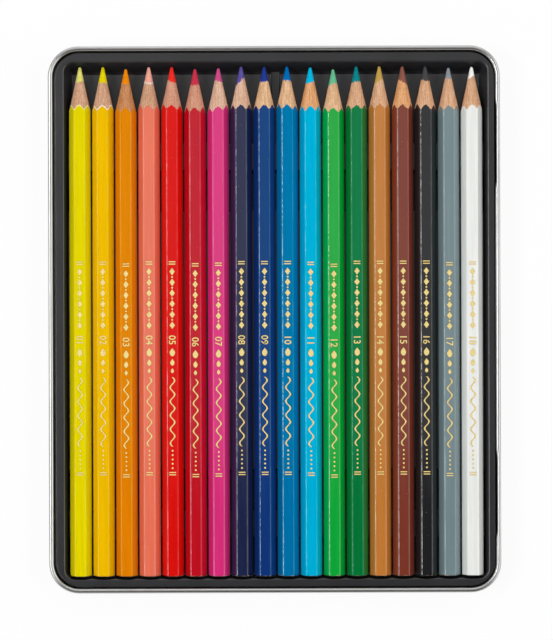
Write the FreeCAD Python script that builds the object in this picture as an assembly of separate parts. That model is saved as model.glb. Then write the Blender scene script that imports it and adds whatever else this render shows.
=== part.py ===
import FreeCAD
import Part

import math
import os

# Watercolour pencil set: a drawn tin base, a formed tray insert and a row of hexagonal pencils.
# Sizes are in millimetres and angles in degrees.
# X runs across the row, Y along the pencils with their points at +Y, and Z is up.
# The origin is the centre of the tin's footprint, on the surface that it stands on.

Vector = FreeCAD.Vector
ALONG = Vector(0, 1, 0)
UP = Vector(0, 0, 1)

# Pencils, hexagonal across flats with the lacquer on
PENCIL_LENGTH = 176.0
PENCIL_GAP = 0.475
BARREL_SIDES = 6
BARREL_FLATS = 6.6
BARREL_EDGE_RADIUS = 0.4
CORE_DIAMETER = 3.0
CORE_GLUE_LINE = 0.02
SHARPENING_HALF_ANGLE = 12.0

# Blunt end of the core, a short cone from the sharpened cone to a small flat
POINT_DIAMETER = 0.98
POINT_FLAT_DIAMETER = 0.4
POINT_HEIGHT = 0.4

# The row from left to right, and how far each point stands back from the longest pencil's point
PENCILS = [
    ("lemon_yellow", 0.0),
    ("golden_yellow", 0.0),
    ("orange", 0.7),
    ("salmon", 0.0),
    ("scarlet", 0.0),
    ("crimson", 0.7),
    ("magenta", 0.5),
    ("violet", 0.0),
    ("ultramarine", 0.0),
    ("cobalt_blue", 0.0),
    ("sky_blue", 0.3),
    ("light_green", 1.0),
    ("dark_green", 0.0),
    ("ochre", 0.0),
    ("brown", 0.0),
    ("black", 0.0),
    ("grey", 0.6),
    ("white", 0.3),
]

# Where the row lies in the tray, and the room that the pocket leaves round it at the flange
ROW_SHIFT_ACROSS = 0.35
ROW_SHIFT_ALONG = -0.5
SIDE_ROOM = 1.68
POINT_ROOM = 1.45
TAIL_ROOM = 0.9

# Tray insert, formed from plastic sheet
TRAY_SHEET = 0.45
TRAY_PLAY = 0.55
TRAY_SHIFT = 0.25
PENCIL_PROUD = 1.0
FLANGE_SIDE = 2.58
FLANGE_END = 2.975
FLANGE_CORNER_RADIUS = 8.5
FLANGE_EDGE_RADIUS = 0.6
POCKET_CORNER_RADIUS = 3.2
POCKET_FLOOR_CORNER_RADIUS = 0.4
SIDE_DRAFT = 18.5
POINT_END_DRAFT = 25.5
TAIL_END_DRAFT = 5.0

# Cradles that carry the pencils: a short one behind the points, one before the tails, and a long one between
CRADLE_HEIGHT = 1.9
CRADLE_END_DRAFT = 12.0
RIDGE_HEIGHT = 2.0
SEAT_CLEARANCE = 0.3
END_CRADLE_LENGTH = 9.2
POINT_CRADLE_SETBACK = 31.2
TAIL_CRADLE_SETBACK = 17.6
CRADLE_GAP = 14.35

# Niches in the tail wall, one behind each pencil
NICHE_WIDTH = 7.2
NICHE_DEPTH = 0.4

# Low rib along the middle of the well under the points
RIB_WIDTH = 2.6
RIB_HEIGHT = 1.3
RIB_SIDE_DRAFT = 8.0

# Tin base, drawn from thin plate, whose rim stands a little above the pencils
TIN_PLATE = 0.3
TIN_CORNER_RADIUS = 10.5
TIN_FOOT_RADIUS = 1.6
RIM_MARGIN = 0.25

# Rolled rim of the tin
CURL_RADIUS = 0.85
CURL_END_ANGLE = -60.0

# Stiffening panel pressed up into the bottom of the tin
PANEL_INSET = 6.0
PANEL_SLOPE = 1.5
PANEL_RISE = 0.5

# Two hinge seats, where the rim's curl is pressed narrower on the hinge side
HINGE_SEAT_LENGTH = 26.0
HINGE_SEAT_RUNOUT = 2.4
HINGE_SEAT_MARGIN = 8.1
HINGE_SEAT_CURL_RADIUS = 0.66

# Points nearer than this count as one
SAME_PLACE = 0.001

# Sizes and places that follow from those above
HALF_SECTOR = math.radians(180 / BARREL_SIDES)
BARREL_HALF_WIDTH = BARREL_EDGE_RADIUS + (BARREL_FLATS / 2 - BARREL_EDGE_RADIUS) / math.cos(HALF_SECTOR)
PENCIL_PITCH = 2 * BARREL_HALF_WIDTH + PENCIL_GAP
ROW_HALF_WIDTH = (len(PENCILS) - 1) * PENCIL_PITCH / 2 + BARREL_HALF_WIDTH
ROW_CENTRE_X = TRAY_SHIFT + ROW_SHIFT_ACROSS
POINT_Y = ROW_SHIFT_ALONG + PENCIL_LENGTH / 2
TAIL_Y = ROW_SHIFT_ALONG - PENCIL_LENGTH / 2
POINT_CRADLE_Y = POINT_Y - POINT_CRADLE_SETBACK
TAIL_CRADLE_Y = TAIL_Y + TAIL_CRADLE_SETBACK
MIDDLE_CRADLE_Y = (POINT_CRADLE_Y + TAIL_CRADLE_Y) / 2
MIDDLE_CRADLE_LENGTH = POINT_CRADLE_Y - TAIL_CRADLE_Y - END_CRADLE_LENGTH - 2 * CRADLE_GAP
TRAY_FOOT_Z = PANEL_RISE + TIN_PLATE
FLOOR_Z = TRAY_FOOT_Z + TRAY_SHEET
SEAT_Z = FLOOR_Z + CRADLE_HEIGHT
RIDGE_Z = SEAT_Z + RIDGE_HEIGHT
AXIS_Z = SEAT_Z + BARREL_FLATS / 2
PENCIL_TOP_Z = SEAT_Z + BARREL_FLATS
FLANGE_Z = PENCIL_TOP_Z - PENCIL_PROUD
TRAY_WIDTH = 2 * (ROW_HALF_WIDTH + SIDE_ROOM + FLANGE_SIDE)
TRAY_LENGTH = PENCIL_LENGTH + POINT_ROOM + TAIL_ROOM + 2 * FLANGE_END
TIN_WIDTH = TRAY_WIDTH + 2 * (TRAY_PLAY + 2 * CURL_RADIUS)
TIN_LENGTH = TRAY_LENGTH + 2 * (TRAY_PLAY + 2 * CURL_RADIUS)
TIN_HEIGHT = PENCIL_TOP_Z + RIM_MARGIN


def tangent(degrees):
    """The tangent of an angle in degrees."""
    return math.tan(math.radians(degrees))


def arc(centre, radius, start, end, rise):
    """An arc about a centre from one angle to another, in the plane of X and the rise direction."""
    def at(degrees):
        turn = math.radians(degrees)
        return centre + Vector(radius * math.cos(turn), 0, 0) + rise * (radius * math.sin(turn))

    return Part.Arc(at(start), at((start + end) / 2), at(end))


def closed_wire(curves):
    """A closed wire through curves in order, with a straight edge where one ends away from the next."""
    edges = []
    for curve, following in zip(curves, curves[1:] + curves[:1]):
        edges.append(curve.toShape())
        if curve.EndPoint.distanceToPoint(following.StartPoint) > SAME_PLACE:
            edges.append(Part.LineSegment(curve.EndPoint, following.StartPoint).toShape())
    return Part.Wire(edges)


def outline(left, right, near, far, radius, z):
    """A rounded rectangle as a closed wire at height z."""
    corners = [
        (right - radius, near + radius, 270),
        (right - radius, far - radius, 0),
        (left + radius, far - radius, 90),
        (left + radius, near + radius, 180),
    ]
    return closed_wire([arc(Vector(x, y, z), radius, start, start + 90, ALONG) for x, y, start in corners])


def tin_outline(inset, z):
    """The tin's plan outline, drawn in from its outer face by inset."""
    half_width = TIN_WIDTH / 2 - inset
    half_length = TIN_LENGTH / 2 - inset
    return outline(-half_width, half_width, -half_length, half_length, TIN_CORNER_RADIUS - inset, z)


def plate(wire, height):
    """A flat plate of the wire's outline."""
    return Part.Face(wire).extrude(Vector(0, 0, height))


def ruled_loft(*wires):
    """A solid with straight sides through closed wires."""
    return Part.makeLoft(list(wires), True, True)


def wall_section(curl_radius):
    """The tin's foot, wall and curl as a closed wire in the XZ plane, with X inwards from the outer face."""
    foot_centre = Vector(TIN_FOOT_RADIUS, 0, TIN_FOOT_RADIUS)
    curl_centre = Vector(curl_radius, 0, TIN_HEIGHT - curl_radius)
    return closed_wire([
        arc(foot_centre, TIN_FOOT_RADIUS, 270, 180, UP),
        arc(curl_centre, curl_radius, 180, CURL_END_ANGLE, UP),
        arc(curl_centre, curl_radius - TIN_PLATE, CURL_END_ANGLE, 180, UP),
        arc(foot_centre, TIN_FOOT_RADIUS - TIN_PLATE, 180, 270, UP),
    ])


def straight_wall(length):
    """A straight run of wall along +Y from the origin, with its outer face on the YZ plane."""
    return Part.Face(wall_section(CURL_RADIUS)).extrude(Vector(0, length, 0))


def hinge_wall(length):
    """The wall on the hinge side, with its curl pressed narrower at the two hinge seats."""
    full = wall_section(CURL_RADIUS)
    pressed = wall_section(HINGE_SEAT_CURL_RADIUS)
    first = HINGE_SEAT_MARGIN + HINGE_SEAT_RUNOUT
    last = length - first - HINGE_SEAT_LENGTH
    stations = [(0.0, full)]
    for seat in (first, last):
        stations.append((seat - HINGE_SEAT_RUNOUT, full))
        stations.append((seat, pressed))
        stations.append((seat + HINGE_SEAT_LENGTH, pressed))
        stations.append((seat + HINGE_SEAT_LENGTH + HINGE_SEAT_RUNOUT, full))
    stations.append((length, full))
    placed = []
    for along, section in stations:
        wire = section.copy()
        wire.translate(Vector(0, along, 0))
        placed.append(wire)
    spans = [ruled_loft(start, end) for start, end in zip(placed, placed[1:])]
    return spans[0].multiFuse(spans[1:]).removeSplitter()


def corner_wall():
    """A quarter turn of wall round the tin's corner, whose axis is the Z axis, from -X to -Y."""
    section = Part.Face(wall_section(CURL_RADIUS))
    section.translate(Vector(-TIN_CORNER_RADIUS, 0, 0))
    return section.revolve(Vector(0, 0, 0), UP, 90)


def tin_bottom():
    """The tin's bottom inside its foot, with the stiffening panel."""
    bottom = plate(tin_outline(TIN_FOOT_RADIUS, 0), TIN_PLATE)
    low, high = PANEL_INSET, PANEL_INSET + PANEL_SLOPE
    raised = ruled_loft(tin_outline(low, TIN_PLATE), tin_outline(high, TIN_PLATE + PANEL_RISE))
    hollow = ruled_loft(tin_outline(low, 0), tin_outline(high, PANEL_RISE))
    return bottom.fuse(raised).cut(hollow)


def tin_base():
    """The drawn tin: bottom, four straight walls and four corners."""
    across = TIN_WIDTH / 2 - TIN_CORNER_RADIUS
    along = TIN_LENGTH / 2 - TIN_CORNER_RADIUS
    sides = [
        (straight_wall(2 * along), 0, (-TIN_WIDTH / 2, -along)),
        (straight_wall(2 * across), 90, (across, -TIN_LENGTH / 2)),
        (hinge_wall(2 * along), 180, (TIN_WIDTH / 2, along)),
        (straight_wall(2 * across), 270, (-across, TIN_LENGTH / 2)),
        (corner_wall(), 0, (-across, -along)),
        (corner_wall(), 90, (across, -along)),
        (corner_wall(), 180, (across, along)),
        (corner_wall(), 270, (-across, along)),
    ]
    walls = []
    for wall, turn, place in sides:
        wall.rotate(Vector(0, 0, 0), UP, turn)
        wall.translate(Vector(*place, 0))
        walls.append(wall)
    return tin_bottom().multiFuse(walls).removeSplitter()


def pocket_outline(z, skin, corner_radius):
    """The tray pocket's plan outline at height z, moved out from the upper face by skin."""
    depth = FLANGE_Z - z

    def drawn_in(draft):
        return depth * tangent(draft) - skin / math.cos(math.radians(draft))

    side = ROW_HALF_WIDTH + SIDE_ROOM - drawn_in(SIDE_DRAFT)
    near = TAIL_Y - TAIL_ROOM + drawn_in(TAIL_END_DRAFT)
    far = POINT_Y + POINT_ROOM - drawn_in(POINT_END_DRAFT)
    return outline(ROW_CENTRE_X - side, ROW_CENTRE_X + side, near, far, corner_radius + skin, z)


def pencil_places():
    """The X of each pencil's axis, from left to right."""
    first = ROW_CENTRE_X - (len(PENCILS) - 1) * PENCIL_PITCH / 2
    return [first + index * PENCIL_PITCH for index in range(len(PENCILS))]


def niche(x, skin):
    """The room behind one pencil's tail, hollowed into the tail wall."""
    half = NICHE_WIDTH / 2 + skin
    wall = TAIL_Y - TAIL_ROOM - skin
    bottom = FLOOR_Z - skin
    deepest = Vector(x, wall - NICHE_DEPTH, bottom)
    back = Part.Arc(Vector(x - half, wall, bottom), deepest, Vector(x + half, wall, bottom))
    front = Part.LineSegment(Vector(x + half, TAIL_Y, bottom), Vector(x - half, TAIL_Y, bottom))
    return plate(closed_wire([back, front]), FLANGE_Z - skin - bottom)


def seat_half_width(z, skin):
    """Half the width of a pencil's seat at height z, whose flanks run along the barrel's lower faces."""
    to_face = BARREL_FLATS / 2 + SEAT_CLEARANCE + skin
    return (to_face + (z - AXIS_Z) * math.sin(HALF_SECTOR)) / math.cos(HALF_SECTOR)


def cradle(centre, length, skin):
    """A raised cradle across the tray, with a seat under each pencil and a ridge between each two."""
    seat = SEAT_Z - skin
    ridge = RIDGE_Z - skin
    bottom = FLOOR_Z - skin
    reach = ROW_HALF_WIDTH + SIDE_ROOM + TRAY_SHEET
    left, right = ROW_CENTRE_X - reach, ROW_CENTRE_X + reach
    low, high = seat_half_width(seat, skin), seat_half_width(ridge, skin)
    profile = [(left, bottom), (left, ridge)]
    for x in pencil_places():
        profile += [(x - high, ridge), (x - low, seat), (x + low, seat), (x + high, ridge)]
    profile += [(right, ridge), (right, bottom), (left, bottom)]
    foot = length / 2 + (ridge - bottom) * tangent(CRADLE_END_DRAFT)
    comb = Part.Face(Part.makePolygon([Vector(x, centre - foot, z) for x, z in profile]))
    comb = comb.extrude(Vector(0, 2 * foot, 0))
    top = length / 2 - skin
    bounds = [(-foot, bottom), (foot, bottom), (top, ridge), (-top, ridge), (-foot, bottom)]
    block = Part.Face(Part.makePolygon([Vector(left, centre + y, z) for y, z in bounds]))
    return comb.common(block.extrude(Vector(2 * reach, 0, 0)))


def cradles(skin):
    """The three cradles, two short ones at the ends of a long one."""
    return [
        cradle(TAIL_CRADLE_Y, END_CRADLE_LENGTH, skin),
        cradle(MIDDLE_CRADLE_Y, MIDDLE_CRADLE_LENGTH, skin),
        cradle(POINT_CRADLE_Y, END_CRADLE_LENGTH, skin),
    ]


def centre_rib(skin):
    """The low rib from the point end of the pocket to the nearest cradle."""
    start = POINT_CRADLE_Y
    bottom = FLOOR_Z - skin
    top = FLOOR_Z + RIB_HEIGHT - skin
    half = RIB_WIDTH / 2 - skin
    foot = half + RIB_HEIGHT * tangent(RIB_SIDE_DRAFT)
    profile = [(-foot, bottom), (foot, bottom), (half, top), (-half, top), (-foot, bottom)]
    face = Part.Face(Part.makePolygon([Vector(ROW_CENTRE_X + x, start, z) for x, z in profile]))
    return face.extrude(Vector(0, POINT_Y + POINT_ROOM - start, 0))


def pocket(skin):
    """The plain pocket's space above the sheet, or with a skin, above the sheet's underside."""
    floor = pocket_outline(FLOOR_Z - skin, skin, POCKET_FLOOR_CORNER_RADIUS)
    mouth = pocket_outline(FLANGE_Z, skin, POCKET_CORNER_RADIUS)
    return ruled_loft(floor, mouth)


def flange():
    """The tray's flat flange before its pocket is formed."""
    left, right = TRAY_SHIFT - TRAY_WIDTH / 2, TRAY_SHIFT + TRAY_WIDTH / 2
    near, far = -TRAY_LENGTH / 2, TRAY_LENGTH / 2
    return plate(outline(left, right, near, far, FLANGE_CORNER_RADIUS, FLANGE_Z - TRAY_SHEET), TRAY_SHEET)


def rounded_mouth(shell, mouth):
    """The shell with the edges rounded where its flange turns down into the pocket's mouth."""
    def on_mouth(edge):
        middle = edge.valueAt((edge.FirstParameter + edge.LastParameter) / 2)
        return mouth.distToShape(Part.Vertex(middle))[0] < SAME_PLACE

    return shell.makeFillet(FLANGE_EDGE_RADIUS, [edge for edge in shell.Edges if on_mouth(edge)])


def tray_insert():
    """The formed tray: a flange and a pocket of one sheet thickness, with niches, cradles and a rib."""
    inside, underside = pocket(0), pocket(TRAY_SHEET)
    mouth = pocket_outline(FLANGE_Z, 0, POCKET_CORNER_RADIUS)
    shell = rounded_mouth(flange().fuse(underside).cut(inside), mouth)
    places = pencil_places()
    shell = shell.fuse([niche(x, TRAY_SHEET) for x in places])
    shell = shell.cut([inside] + [niche(x, 0) for x in places])
    raised = [form.common(underside) for form in cradles(0) + [centre_rib(0)]]
    return shell.fuse(raised).cut(cradles(TRAY_SHEET) + [centre_rib(TRAY_SHEET)]).removeSplitter()


def barrel():
    """A hexagonal bar with rounded edges, lying along Y with a flat on top, ending at the origin."""
    corner = BARREL_FLATS / 2 / math.cos(HALF_SECTOR)
    turns = [2 * HALF_SECTOR * step for step in range(BARREL_SIDES + 1)]
    points = [Vector(corner * math.cos(turn), -PENCIL_LENGTH, corner * math.sin(turn)) for turn in turns]
    bar = Part.Face(Part.makePolygon(points)).extrude(Vector(0, PENCIL_LENGTH, 0))
    long_edges = [edge for edge in bar.Edges if edge.Length > PENCIL_LENGTH - SAME_PLACE]
    return bar.makeFillet(BARREL_EDGE_RADIUS, long_edges)


def watercolour_core(apex_y):
    """The core: a round rod with a conical end and a blunt point."""
    radius, blunt = CORE_DIAMETER / 2, POINT_DIAMETER / 2
    slope = tangent(SHARPENING_HALF_ANGLE)
    blunt_y = apex_y - blunt / slope
    profile = [
        (0, -PENCIL_LENGTH),
        (radius, -PENCIL_LENGTH),
        (radius, apex_y - radius / slope),
        (blunt, blunt_y),
        (POINT_FLAT_DIAMETER / 2, blunt_y + POINT_HEIGHT),
        (0, blunt_y + POINT_HEIGHT),
        (0, -PENCIL_LENGTH),
    ]
    face = Part.Face(Part.makePolygon([Vector(x, y, 0) for x, y in profile]))
    return face.revolve(Vector(0, 0, 0), ALONG, 360)


def pencil(setback):
    """One pencil's lacquered casing and core, along Y with the longest pencil's point at the origin."""
    slope = tangent(SHARPENING_HALF_ANGLE)
    apex_y = POINT_DIAMETER / 2 / slope - POINT_HEIGHT - setback
    cone_length = apex_y + PENCIL_LENGTH
    cone = Part.makeCone(0, cone_length * slope, cone_length, Vector(0, apex_y, 0), -ALONG)
    bore = Part.makeCylinder(CORE_DIAMETER / 2 + CORE_GLUE_LINE, PENCIL_LENGTH, Vector(0, 0, 0), -ALONG)
    return {"casing": barrel().cut(bore).common(cone), "core": watercolour_core(apex_y)}


def save(node, shape):
    """Write one node's solid, saying if it isn't a single sound solid."""
    solids = shape.Solids
    if len(solids) != 1 or not solids[0].isValid():
        print("check", node, len(solids), "solids")
    solids[0].exportStep("parts/" + node + ".step")


def main():
    """Build every piece in its place."""
    os.makedirs("parts", exist_ok=True)
    save("tin_base", tin_base())
    save("tray_insert", tray_insert())
    for (colour, setback), x in zip(PENCILS, pencil_places()):
        for piece, shape in pencil(setback).items():
            shape.translate(Vector(x, POINT_Y, AXIS_Z))
            save(colour + "_" + piece, shape)


main()
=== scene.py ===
"""Looks of a row of watercolour pencils in a black tray and a flat tin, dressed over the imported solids."""

import logging
import math
import random
from dataclasses import dataclass, field
from enum import Enum, IntEnum
from typing import Callable, Iterable, Optional, Sequence, Union

import bmesh
import bpy
from mathutils import Matrix, Vector


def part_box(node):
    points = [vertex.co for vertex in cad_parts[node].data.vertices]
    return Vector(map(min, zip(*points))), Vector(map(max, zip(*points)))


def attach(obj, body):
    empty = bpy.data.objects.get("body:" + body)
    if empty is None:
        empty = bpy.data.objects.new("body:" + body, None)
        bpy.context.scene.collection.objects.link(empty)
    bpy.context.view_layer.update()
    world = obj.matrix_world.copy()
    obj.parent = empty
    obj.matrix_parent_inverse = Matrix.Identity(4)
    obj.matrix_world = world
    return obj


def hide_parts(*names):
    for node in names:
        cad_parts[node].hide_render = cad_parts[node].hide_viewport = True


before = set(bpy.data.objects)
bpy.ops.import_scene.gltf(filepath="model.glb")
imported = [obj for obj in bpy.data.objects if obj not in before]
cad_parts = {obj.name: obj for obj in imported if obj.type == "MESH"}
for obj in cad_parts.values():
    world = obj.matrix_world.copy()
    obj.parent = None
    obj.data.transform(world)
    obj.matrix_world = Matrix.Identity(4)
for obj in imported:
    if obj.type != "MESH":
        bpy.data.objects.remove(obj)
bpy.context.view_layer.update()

LOG = logging.getLogger("pencil set")
MM = 0.001
SAME_PLACE = 0.0005 * MM
WHITE = (1.0, 1.0, 1.0)

# What the meshes tell their materials: which edges are rubbed, and which faces were drawn over the mould
EDGE_RUB = "edge_rub"
DRAWN = "drawn"

# The barrel's sides, and the angle that one of them takes up, in degrees
SIDES = 6
FACE_ANGLE = 360 / SIDES
HALF_FACE = math.radians(FACE_ANGLE / 2)

Colour = tuple[float, float, float]
Pair = tuple[float, float]
Place = Callable[[Vector], Vector]
Term = Union["Value", float]


def srgb(red: float, green: float, blue: float) -> Colour:
    """Turns a colour as screens write it into a shader's linear numbers.

    Args:
        red: Red from 0 to 255.
        green: Green from 0 to 255.
        blue: Blue from 0 to 255.

    Returns:
        The same colour, linear from 0 to 1.
    """

    def linear(part: float) -> float:
        """The linear share of one part of the colour, by the curve that screens use."""
        part /= 255
        return part / 12.92 if part <= 0.04045 else ((part + 0.055) / 1.055) ** 2.4

    return linear(red), linear(green), linear(blue)


def scaled(colour: Colour, share: float) -> Colour:
    """The colour made lighter or darker by a share."""
    return tuple(min(1.0, part * share) for part in colour)


def scaled_parts(colour: Colour, shares: Colour) -> Colour:
    """The colour with each part made lighter or darker by its own share."""
    return tuple(part * share for part, share in zip(colour, shares))


class Value:
    """A node's output that Python's operators work on."""

    def __init__(self, book: "Book", socket: Optional[bpy.types.NodeSocket]) -> None:
        """Keeps the socket and the node tree that it is in."""
        self.book, self.socket = book, socket

    def math(self, operation: str, *terms: Term) -> "Value":
        """Adds a Math node on the terms.

        Args:
            operation: The Math node's operation.
            terms: What it works on, in order.

        Returns:
            The node's result.
        """
        return self.book.node("ShaderNodeMath", {"operation": operation}, dict(enumerate(terms)))

    def __add__(self, other: Term) -> "Value":
        """self + other."""
        return self.math("ADD", self, other)

    def __sub__(self, other: Term) -> "Value":
        """self - other."""
        return self.math("SUBTRACT", self, other)

    def __rsub__(self, other: float) -> "Value":
        """other - self."""
        return self.math("SUBTRACT", other, self)

    def __mul__(self, other: Term) -> "Value":
        """self * other."""
        return self.math("MULTIPLY", self, other)

    __radd__ = __add__
    __rmul__ = __mul__

    def largest(self, other: Term) -> "Value":
        """The larger one of self and other."""
        return self.math("MAXIMUM", self, other)

    def between(self, low: float, high: float) -> "Value":
        """A soft step from 0 at low to 1 at high.

        Args:
            low: Where the step starts.
            high: Where the step ends.

        Returns:
            The step's height, from 0 to 1.
        """
        return self.book.node(
            "ShaderNodeMapRange",
            {"interpolation_type": "SMOOTHSTEP"},
            {"Value": self, "From Min": low, "From Max": high},
        )


class Book:
    """The node tree of a material or a world, written node by node."""

    def __init__(self, owner: Union[bpy.types.Material, bpy.types.World]) -> None:
        """Empties the owner's node tree.

        Args:
            owner: The material or world that the nodes are for.
        """
        owner.use_nodes = True
        self.tree = owner.node_tree
        self.tree.nodes.clear()

    def node(
        self,
        kind: str,
        settings: Optional[dict] = None,
        inputs: Optional[dict] = None,
        output: Union[int, str] = 0,
    ) -> Value:
        """Adds one node.

        Args:
            kind: The node's type.
            settings: Its properties, which are set first.
            inputs: The value or link of each socket, by the socket's name or number.
            output: The name or number of the output that is wanted.

        Returns:
            That output.
        """
        made = self.tree.nodes.new(kind)
        for name, setting in (settings or {}).items():
            setattr(made, name, setting)
        for key, given in (inputs or {}).items():
            socket = made.inputs[key]
            if isinstance(given, Value):
                self.tree.links.new(given.socket, socket)
            elif socket.type == "RGBA":
                socket.default_value = (*given, 1.0)
            else:
                socket.default_value = given
        return Value(self, made.outputs[output] if len(made.outputs) else None)

    def place(self) -> Value:
        """Each place on the piece, in the piece's own coordinates."""
        return self.node("ShaderNodeTexCoord", output="Object")

    def coordinate(self, axis: str) -> Value:
        """One coordinate of each place: X across, Y along or Z up."""
        return self.node("ShaderNodeSeparateXYZ", {}, {"Vector": self.place()}, output=axis)

    def attribute(self, name: str) -> Value:
        """A number that the mesh holds at its points or faces."""
        return self.node("ShaderNodeAttribute", {"attribute_name": name}, output="Fac")

    def noise(self, per_metre: Sequence[float], detail: float = 2.0, shift: float = 0.0) -> Value:
        """A noise on the piece's own coordinates.

        Args:
            per_metre: How many grains of noise there are to a metre along x, y and z.
            detail: How many finer layers it has.
            shift: Moves the pattern, so that pieces differ.

        Returns:
            The noise, from 0 to 1.
        """
        stretched = {"Vector": self.place(), "Location": (shift,) * 3, "Scale": tuple(per_metre)}
        place = self.node("ShaderNodeMapping", {}, stretched)
        return self.node("ShaderNodeTexNoise", {}, {"Vector": place, "Scale": 1.0, "Detail": detail})

    def mix(self, share: Term, one: Union[Value, Colour], other: Union[Value, Colour]) -> Value:
        """Mixes two colours.

        Args:
            share: How much of the other colour shows.
            one: The first colour.
            other: The other colour.

        Returns:
            The mixed colour.
        """
        # This node repeats its sockets' names for each type of data, so they go by number
        return self.node("ShaderNodeMix", {"data_type": "RGBA"}, {0: share, 6: one, 7: other}, output=2)

    def mix_shaders(self, share: Value, one: Value, other: Value) -> Value:
        """Mixes two shaders, with the other one's share given."""
        return self.node("ShaderNodeMixShader", {}, {0: share, 1: one, 2: other})

    def bump(self, height: Value, depth: float, rounding: float = 0.0) -> Value:
        """Makes the surface look uneven.

        Args:
            height: The height at each place, from 0 to 1.
            depth: How deep a height of 1 is, in metres.
            rounding: How wide sharp edges look rounded, in metres, or 0 for not at all.

        Returns:
            The bent normal.
        """
        inputs = {"Strength": 1.0, "Distance": depth, "Height": height}
        if rounding:
            inputs["Normal"] = self.node("ShaderNodeBevel", {"samples": 6}, {"Radius": rounding})
        return self.node("ShaderNodeBump", {}, inputs)

    def principled(self, inputs: dict) -> Value:
        """Adds a Principled shader with these sockets."""
        return self.node("ShaderNodeBsdfPrincipled", {}, inputs)


class Finish:
    """What the finishes share: a material whose shader each of them writes."""

    def shader(self, book: Book) -> Value:
        """Writes the finish's shader into the book."""
        raise NotImplementedError

    def material(self, name: str) -> bpy.types.Material:
        """Makes a material with this finish.

        Args:
            name: The material's name.

        Returns:
            The material.
        """
        made = bpy.data.materials.new(name)
        book = Book(made)
        book.node("ShaderNodeOutputMaterial", {}, {"Surface": self.shader(book)})
        return made


@dataclass(frozen=True)
class Lacquer(Finish):
    """Gloss lacquer that was drawn along the pencil, with fine runs, a little dust and chips at the tail.

    Its edges are rubbed dull and paler. The paler tone is wear and also a painted highlight along them,
    and the left-hand ones still have a broken glint. The stronger a glint is, the less it is broken.
    """

    colour: Colour
    wood: Colour
    shine: Colour
    glint: float
    tail: float
    seed: int
    run_shades: Pair = (0.96, 1.03)
    run_depth: float = 0.01 * MM
    dust_and_highlight_keeps: float = 0.72
    dust_and_highlight_adds: float = 0.2
    dust_and_highlight_share: float = 0.3
    wear_and_highlight_share: float = 0.4
    chip_depth: float = 0.24 * MM
    chip_fade: float = 0.05 * MM
    chip_share: float = 0.7
    gloss_ior: float = 1.8
    gloss_roughness: float = 0.09
    run_roughness: float = 0.06
    dust_roughness: float = 0.3
    edge_roughness: float = 0.6
    chip_roughness: float = 0.5
    glint_ior: float = 2.4
    glint_roughness: float = 0.05
    glint_weight: float = 1.4
    glint_limit: float = 0.42
    glint_hold: float = 0.12
    glint_fade: float = 0.08

    def shader(self, book: Book) -> Value:
        """Writes the lacquer's shader.

        Args:
            book: The material's nodes.

        Returns:
            The shader.
        """
        runs = book.noise((900, 45, 900), 2, self.seed)
        wear = book.noise((1500, 260, 1500), 3, self.seed + 2).between(0.42, 0.62)
        dust = book.noise((2300, 2300, 2300), 0, self.seed + 5).between(0.86, 0.9)
        skin = book.noise((700, 110, 700), 3, self.seed + 9)
        limit = self.glint_limit + self.glint_hold * self.glint
        broken = book.noise((1100, 1300, 1100), 2, self.seed + 12).between(limit, limit + self.glint_fade)
        ragged = book.noise((600, 0, 600), 2, self.seed + 15).between(0.46, 0.68)
        chipped = (self.tail + self.chip_depth * ragged - book.coordinate("Y")).between(0.0, self.chip_fade)
        edge = book.attribute(EDGE_RUB)
        left, right = edge.largest(0.0), (0.0 - edge).largest(0.0)
        rubbed = left.largest(right)
        # The pale colour of the dust specks and of the rubbed edges; on the edges it is wear and also a
        # painted highlight.
        pale = tuple(self.dust_and_highlight_keeps * part + self.dust_and_highlight_adds for part in self.colour)
        tone = book.mix(runs.between(0.3, 0.7), *(scaled(self.colour, shade) for shade in self.run_shades))
        tone = book.mix(self.dust_and_highlight_share * dust.largest(self.wear_and_highlight_share * rubbed * wear), tone, pale)
        dull = (self.dust_roughness * dust).largest(self.edge_roughness * rubbed)
        dull = dull.largest(self.chip_roughness * chipped)
        return book.principled(
            {
                "Base Color": book.mix(self.chip_share * chipped, tone, self.wood),
                "Roughness": self.gloss_roughness + self.run_roughness * runs.between(0.4, 0.8) + dull,
                "IOR": self.gloss_ior,
                "Specular Tint": self.shine,
                "Coat Weight": self.glint_weight * self.glint * left * (1 - broken),
                "Coat Roughness": self.glint_roughness,
                "Coat IOR": self.glint_ior,
                "Normal": book.bump(skin, self.run_depth),
            }
        )


@dataclass(frozen=True)
class Primer(Finish):
    """The pale ground under the lacquer, which shows where the sharpener cut through it."""

    colour: Colour
    seed: int
    dark_share: float = 0.72
    grain_depth: float = 0.02 * MM

    def shader(self, book: Book) -> Value:
        """Writes the ground's shader.

        Args:
            book: The material's nodes.

        Returns:
            The shader.
        """
        grain = book.noise((2600, 900, 2600), 3, self.seed)
        dark = scaled(self.colour, self.dark_share)
        return book.principled(
            {
                "Base Color": book.mix(grain.between(0.35, 0.7), self.colour, dark),
                "Roughness": 0.5 + 0.2 * grain,
                "Normal": book.bump(grain, self.grain_depth),
            }
        )


class CedarTone(Enum):
    """The casing wood's colours, from the palest to the reddest."""

    PALE = srgb(213, 173, 147)
    SAND = srgb(219, 177, 136)
    HONEY = srgb(211, 165, 128)
    AMBER = srgb(219, 160, 108)
    TAWNY = srgb(202, 156, 125)
    RED = srgb(203, 144, 118)
    RUSSET = srgb(191, 129, 79)


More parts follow.
